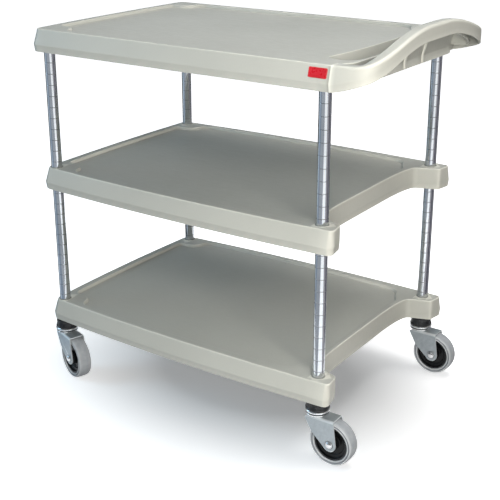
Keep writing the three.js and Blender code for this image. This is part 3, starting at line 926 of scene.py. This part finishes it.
def fork(name, corner):
    """Pressed fork: a channel cut to the side view, with a ring pressed in round the bolt head."""
    place = caster_place(corner)
    inner, outer, low, roof = FORK_INNER, FORK_OUTER, 30, FORK_TOP - FORK_PLATE
    channel = rounded([
        (-outer, low, 0, 0), (-outer, FORK_TOP, 4.5, 5), (outer, FORK_TOP, 4.5, 5), (outer, low, 0, 0),
        (inner, low, 0, 0), (inner, roof, 2, 4), (-inner, roof, 2, 4), (-inner, low, 0, 0),
    ], closed=True)
    bm = bmesh.new()
    ends = skin(bm, [[(x, p.x, p.y) for p in channel] for x in (-30, 70)])
    bm.faces.new(ends[0])
    bm.faces.new(ends[1])
    obj = made(name, bm, place)
    side = bmesh.new()
    prism(side, [(p.x, p.y) for p in fork_outline()], -30, 30)
    combine(obj, "INTERSECT", [made("side", side, place @ Matrix.Rotation(math.pi / 2, 4, "X"))])
    pin = turned("pin_hole", [(0, 90), (PIN_HOLE, 90), (PIN_HOLE, 120), (0, 120)], place, 32)
    axle = turned("axle_hole", [
        (0, -30), (AXLE_HOLE, -30), (AXLE_HOLE, 30), (0, 30),
    ], place @ ON_AXLE, 32)
    pressed_ring = turned("pressed_ring", [
        (8.4, outer - 0.9), (9.6, outer - 0.9), (10.2, outer + 1), (8.4, outer + 1),
    ], place @ ON_AXLE, 40)
    combine(obj, "DIFFERENCE", [pin, axle, pressed_ring])
    soften(obj, 0.35 * MM)
    for across in (Vector((0, 1, 0)), Vector((0, 0, 1))):
        inset_flats(obj, (place.to_3x3() @ across).normalized(), 1.1 * MM)
    return obj


def lower_race(name, corner):
    """Pressed ring on the fork's bridge, which carries the balls."""
    low = FORK_TOP + 0.05
    profile = rounded([
        (6.6, low, 0, 0), (22.6, low, 0.8, 2), (23.2, FORK_TOP + 1.6, 1, 2), (26, FORK_TOP + 2.8, 0.6, 3),
        (26, 110.6, 0.9, 4), (23.2, 110.6, 0.8, 2), (22, 108.6, 1, 2), (6.6, 108.6, 0, 0),
    ], closed=True)
    return turned(name, profile, caster_place(corner), 72)


def both_sides(half):
    """A wheel's closed profile from its corners on one side of the middle plane."""
    side = rounded(half)
    return [(p.x, p.y) for p in side] + [(p.x, -p.y) for p in reversed(side[1:])]


def tyre(name, corner):
    """Solid tread: crowned face, rounded shoulders and a shallow band groove in each side wall."""
    half = [
        (50, 0, 0, 0), (49.7, 9.5, 4, 3), (48.9, 13.4, 2, 4), (47.2, 15.5, 0.8, 3), (45.9, 15.5, 0.4, 2),
        (45.0, 13.0, 0.5, 2), (42.6, 12.8, 0.5, 2), (41.7, 15.2, 0.5, 3), (39.8, 15.2, 0.8, 3),
        (38.85, 12.4, 0, 0),
    ]
    return turned(name, both_sides(half), caster_place(corner) @ ON_AXLE, 96)


def wheel_core(name, corner):
    """Moulded core: rim lip, dished web with a step ring, and a hub that reaches between the legs."""
    half = [
        (38.5, 0, 0, 0), (38.5, 13.2, 0.5, 2), (35.2, 13.2, 0.9, 3), (33.6, 7.2, 1.4, 3),
        (28.4, 6.0, 0.8, 3), (27.2, 3.6, 1.0, 3), (16.0, 3.4, 1.5, 3), (14.2, 13.4, 1.0, 3),
        (12.8, 15.4, 0.8, 3), (6.7, 15.4, 0, 0),
    ]
    return turned(name, both_sides(half), caster_place(corner) @ ON_AXLE, 96)


def axle_bolt(name, corner):
    """Domed head with a flange against the right leg, and a threaded end beyond the left one."""
    face = FORK_OUTER + FASTENER_GAP
    tip = -face - 9.2
    thread, turns = [], 8
    for i in range(turns):
        z = tip + 1.2 + i
        thread += [(3.95, z, 0, 0), (3.5, z + 0.5, 0, 0)]
    profile = rounded([
        (0, tip, 0, 0), (3.2, tip, 0, 0), *thread, (4, -face + 0.4, 0, 0), (4, face, 0, 0),
        (8.2, face, 0.3, 2), (8.2, face + 0.9, 0.4, 3), (7.1, face + 1.1, 0.3, 2),
        (6.7, face + 3.4, 2.2, 6), (3.4, face + 5.0, 1.8, 4), (0, face + 5.2, 0, 0),
    ])
    return turned(name, profile, caster_place(corner) @ ON_AXLE, 40)


def axle_nut(name, corner):
    """Hexagon nut with chamfered corners."""
    face = FORK_OUTER + FASTENER_GAP
    corner_radius, depth, chamfer, segments = 7.6, 6.2, 0.8, 48
    flat_radius = corner_radius * math.cos(math.pi / 6)
    rings = []
    for z, limit in ((0, 0.88), (chamfer, 1), (depth - chamfer, 1), (depth, 0.88)):
        ring = []
        for i in range(segments):
            a = 2 * math.pi * i / segments
            flat = flat_radius / math.cos((a + math.pi / 6) % (math.pi / 3) - math.pi / 6)
            r = min(flat, corner_radius * limit) if limit < 1 else flat
            ring.append((r * math.cos(a), r * math.sin(a), -face - z))
        rings.append(ring)
    bm = bmesh.new()
    verts = skin(bm, rings + [circle(AXLE_HOLE, -face - z, segments) for z in (depth, 0)])
    bridge(bm, verts[-1], verts[0])
    return made(name, bm, caster_place(corner) @ ON_AXLE)


def axle_bush(name, corner):
    """Plain tube between the fork's legs, in the bore of the wheel."""
    half, outside = FORK_INNER - 0.3, 6.4
    profile = rounded([
        (AXLE_HOLE, -half, 0.4, 2), (outside, -half, 0.4, 2),
        (outside, half, 0.4, 2), (AXLE_HOLE, half, 0.4, 2),
    ], closed=True)
    return turned(name, profile, caster_place(corner) @ ON_AXLE, 40)


def caster_stem(name, corner):
    """King pin head, pin, shoulder under the post and shank up inside it."""
    profile = rounded([
        (0, 98.5, 0, 0), (7.6, 98.5, 1, 3), (9, 101.9, 0.5, 2), (6, 101.9, 0, 0), (6, 137.8, 0, 0),
        (14.7, 137.8, 0.6, 3), (14.7, 140.7, 0.5, 3), (10.7, 140.7, 0, 0), (10.7, 186.5, 1, 3),
        (8.5, 188, 0.5, 2), (0, 188, 0, 0),
    ])
    return turned(name, profile, caster_place(corner), 48)


def bearing_cup(name, corner):
    """Dark bell over the bearing, with a lipped foot and a waist."""
    profile = rounded([
        (6.3, 119, 0, 0), (25.9, 119, 0.8, 3), (26, 121.6, 0.8, 3), (24.6, 123.0, 1.2, 3),
        (23.6, 131.5, 2, 4), (24.2, 134.6, 1, 3), (23.2, 137.5, 1, 3), (6.3, 137.5, 0, 0),
    ], closed=True)
    return turned(name, profile, caster_place(corner), 72)


def upper_race(name, corner):
    """Pressed dish whose turned-down edge covers the balls."""
    profile = rounded([
        (6.3, 116, 0, 0), (20, 116, 1, 2), (21.6, 113.0, 0.5, 2), (26.2, 113.0, 0.6, 3),
        (26.7, 114.8, 0.8, 3), (26.3, 117.2, 1.0, 4), (24.8, 118.7, 1, 3), (6.3, 118.7, 0, 0),
    ], closed=True)
    return turned(name, profile, caster_place(corner), 72)


def ball_ring(name, corner):
    """Steel balls in a thin cage between the races."""
    place = caster_place(corner)
    obj = turned(name, [(14.2, 113), (18.8, 113), (18.8, 113.9), (14.2, 113.9)], place, 48)
    balls = bmesh.new()
    for centre in circle(BALL_CIRCLE, BALL_LEVEL, 16):
        at = Matrix.Translation(centre)
        bmesh.ops.create_uvsphere(balls, u_segments=14, v_segments=9, radius=2.1, matrix=at)
    combine(obj, "UNION", [made("balls", balls, place)])
    return obj


# ---- assembly -------------------------------------------------------------------------------------

polymer = moulded_polymer()
chrome = chrome_plate()
zinc = zinc_plate()
bright = bright_fastener()
sleeve_grey = sleeve_plastic()
gloss = black_gloss()
core_black = black_core()
rubber = grey_rubber()

for level in ("bottom", "middle"):
    shell = lower_shelf(f"{level}_shelf_shell", RIMS[level])
    piece(shell, "root", "shelf_polymer", polymer, f"{level}_shelf")
piece(top_shelf("top_shelf_shell"), "root", "shelf_polymer", polymer, "top_shelf_and_handle")
piece(blank_plate("side_plate"), "root", "plate_red", plate_paint(), "blank_plate")

CASTER_PIECES = (  # how it is built, piece, CAD node, body, slot, material
    (caster_stem, "stem", "caster_stem", "root", "zinc_plate", zinc),
    (bearing_cup, "bell", "bearing_cup", "root", "cup_black", gloss),
    (upper_race, "dish", "upper_race", "root", "zinc_plate", bright),
    (ball_ring, "balls", "ball_ring", "root", "zinc_plate", bright),
    (fork, "yoke", "fork", "swivel", "zinc_plate", zinc),
    (lower_race, "race", "fork", "swivel", "zinc_plate", bright),
    (axle_bolt, "bolt", "axle_bolt", "swivel", "bright_fastener", bright),
    (axle_nut, "nut", "axle_nut", "swivel", "bright_fastener", bright),
    (axle_bush, "bush", "axle_bush", "swivel", "zinc_plate", bright),
    (wheel_core, "core", "wheel_core", "wheel", "core_black", core_black),
    (tyre, "tread", "tyre", "wheel", "tyre_grey", rubber),
)

for corner in CORNERS:
    bodies = {"root": "root", "swivel": f"swivel_{corner}", "wheel": f"wheel_{corner}"}
    piece(post(f"tube_{corner}", corner), "root", "post_chrome", chrome, f"post_{corner}")
    for level in RIMS:
        wedge = sleeve(f"wedge_{level}_{corner}", level, corner)
        piece(wedge, "root", "sleeve_plastic", sleeve_grey, f"sleeve_{level}_{corner}")
    for build, name, node, body, slot, material in CASTER_PIECES:
        piece(build(f"{name}_{corner}", corner), bodies[body], slot, material, f"{node}_{corner}")


# ---- studio ---------------------------------------------------------------------------------------


FLOOR_HALF = 30
FLOOR_LEVEL = -0.0005


def floor_sheet():
    """The floor, as a grid of squares so that no long thin triangle shades badly."""
    bm = bmesh.new()
    bmesh.ops.create_grid(bm, x_segments=15, y_segments=15, size=FLOOR_HALF)
    floor = made("floor_sheet", bm, Matrix.Translation((0, 0, FLOOR_LEVEL)))
    floor.data.materials.append(floor_paper())
    floor.visible_diffuse = False  # what bounces up comes from the lower half of the studio instead
    return floor


def self_lit(name, colour):
    """A new material that glows in one colour, and its shader."""
    material = bpy.data.materials.new(name)
    material.use_nodes = True
    shader = material.node_tree.nodes["Principled BSDF"]
    shader.inputs["Emission Color"].default_value = (*colour, 1)
    shader.inputs["Emission Strength"].default_value = 1
    return material, shader


def backdrop():
    """A white wall all round, seen past the edge of the floor from low viewpoints."""
    material, _ = self_lit("backdrop_paper", (1, 1, 1))
    bm = bmesh.new()
    skin(bm, [circle(FLOOR_HALF, z, 64) for z in (FLOOR_LEVEL, 25)])
    wall = made("backdrop", bm)
    wall.data.materials.append(material)
    wall.visible_diffuse = False
    wall.visible_glossy = False
    wall.visible_shadow = False


def reflector(name, start, end, colour):
    """A flat card on the floor, seen only in reflections. Bearings grow from the front to the right."""
    material, shader = self_lit(name, colour)
    shader.inputs["Base Color"].default_value = (0, 0, 0, 1)
    shader.inputs["Specular IOR Level"].default_value = 0
    near, far, above_floor, steps = 0.6, 12.0, 0.001, 12
    turns = [math.radians(start + (end - start) * i / steps) for i in range(steps + 1)]
    rim = [(near, a) for a in turns] + [(far, a) for a in reversed(turns)]
    bm = bmesh.new()
    bm.faces.new([bm.verts.new((r * math.sin(a), -r * math.cos(a), above_floor)) for r, a in rim])
    card = made(name, bm)
    card.data.materials.append(material)
    card.visible_camera = False
    card.visible_diffuse = False
    card.visible_shadow = False
    card.visible_transmission = False


def softbox(name, place, target, size, power, colour, glossy=True):
    """An area light aimed at target; with glossy off it isn't mirrored in the surfaces."""
    light = bpy.data.lights.new(name, "AREA")
    light.shape = "RECTANGLE"
    light.size, light.size_y = size
    light.energy = power
    light.color = colour
    obj = bpy.data.objects.new(name, light)
    obj.location = place
    obj.rotation_euler = (Vector(target) - Vector(place)).to_track_quat("-Z", "Y").to_euler()
    obj.visible_camera = False
    obj.visible_glossy = glossy
    bpy.context.scene.collection.objects.link(obj)
    return obj


def leave_unlit(light, obj):
    """Light linking: the light passes by the object."""
    receivers = bpy.data.collections.new(f"{light.name}_receivers")
    receivers.objects.link(obj)
    receivers.collection_objects[0].light_linking.link_state = "EXCLUDE"
    light.light_linking.receiver_collection = receivers


def studio_sky():
    """White walls round a dimmer ceiling and floor, cool towards the left and warm towards the right."""
    world = bpy.data.worlds.new("studio")
    bpy.context.scene.world = world
    world.use_nodes = True
    tree = world.node_tree
    place = tree.nodes.new("ShaderNodeTexCoord")
    split = tree.nodes.new("ShaderNodeSeparateXYZ")
    tree.links.new(place.outputs["Generated"], split.inputs[0])

    def ramp(direction, *stops):
        share = tree.nodes.new("ShaderNodeMapRange")
        share.inputs["From Min"].default_value = -1
        tree.links.new(split.outputs[direction], share.inputs["Value"])
        node = tree.nodes.new("ShaderNodeValToRGB")
        tree.links.new(share.outputs["Result"], node.inputs["Fac"])
        while len(node.color_ramp.elements) < len(stops):
            node.color_ramp.elements.new(0.5)
        for element, (position, colour) in zip(node.color_ramp.elements, stops):
            element.position = position
            element.color = (*colour, 1)
        return node.outputs["Color"]

    heights = ramp("Z", (0.0, (0.30, 0.30, 0.30)), (0.47, (0.36, 0.36, 0.36)), (0.52, (0.94, 0.94, 0.94)),
                   (0.60, (0.88, 0.88, 0.88)), (0.85, (0.32, 0.32, 0.32)))
    sides = ramp("X", (0.1, (0.68, 0.85, 1.0)), (0.9, (1.0, 0.97, 0.91)))
    tint = tree.nodes.new("ShaderNodeMix")
    tint.data_type = "RGBA"
    tint.blend_type = "MULTIPLY"
    tint.inputs["Factor"].default_value = 1
    tree.links.new(heights, tint.inputs["A"])
    tree.links.new(sides, tint.inputs["B"])
    tree.links.new(tint.outputs["Result"], tree.nodes["Background"].inputs["Color"])
    tree.nodes["Background"].inputs["Strength"].default_value = 0.46


def camera():
    """Looks at the front corner of the handle end, from a little above the top shelf."""
    data = bpy.data.cameras.new("camera")
    data.sensor_width = 36
    data.lens = 74.8
    data.shift_y = -0.05
    data.clip_end = 100
    yaw, pitch = math.radians(34.13), math.radians(19.71)
    ahead = Vector((-math.sin(yaw) * math.cos(pitch), math.cos(yaw) * math.cos(pitch), -math.sin(pitch)))
    obj = bpy.data.objects.new("camera", data)
    obj.location = (POSTS_MIDDLE_X + 1.307, -1.904, 1.202)
    obj.rotation_euler = ahead.to_track_quat("-Z", "Y").to_euler()
    bpy.context.scene.collection.objects.link(obj)
    bpy.context.scene.camera = obj


camera()
floor = floor_sheet()
backdrop()
studio_sky()
key = softbox("key", (1.45, -1.55, 1.25), (0.25, -0.1, 0.5), (1.3, 1.3), 61, (1.0, 0.98, 0.93), False)
leave_unlit(key, floor)
softbox("overhead", (0.45, 0.5, 2.9), (0, 0, 0.5), (1.5, 1.5), 44, (1.0, 0.99, 0.98))
softbox("left_fill", (-2.6, -1.6, 1.6), (0, 0, 0.5), (1.4, 1.6), 24, (0.52, 0.79, 1.0))
back = softbox("back_fill", (-2.1, 2.2, 0.5), (0, 0, 0.45), (1.6, 0.8), 26, (1.0, 0.96, 0.89), False)
leave_unlit(back, floor)
reflector("card_left_edge", -113, -74, (0.01, 0.012, 0.015))
reflector("card_pale_blue", -74, -52, (0.58, 0.68, 0.78))
reflector("card_blue", -52, -22, (0.27, 0.33, 0.41))
reflector("card_left_near", -22, 32, (0.42, 0.45, 0.49))
reflector("card_right_near", 72, 100, (0.42, 0.41, 0.44))
reflector("card_purple", 100, 128, (0.12, 0.115, 0.14))
reflector("card_pale_right", 128, 144, (0.40, 0.39, 0.42))
reflector("card_right_edge", 144, 181, (0.02, 0.02, 0.025))
bpy.context.scene.view_settings.view_transform = "Standard"
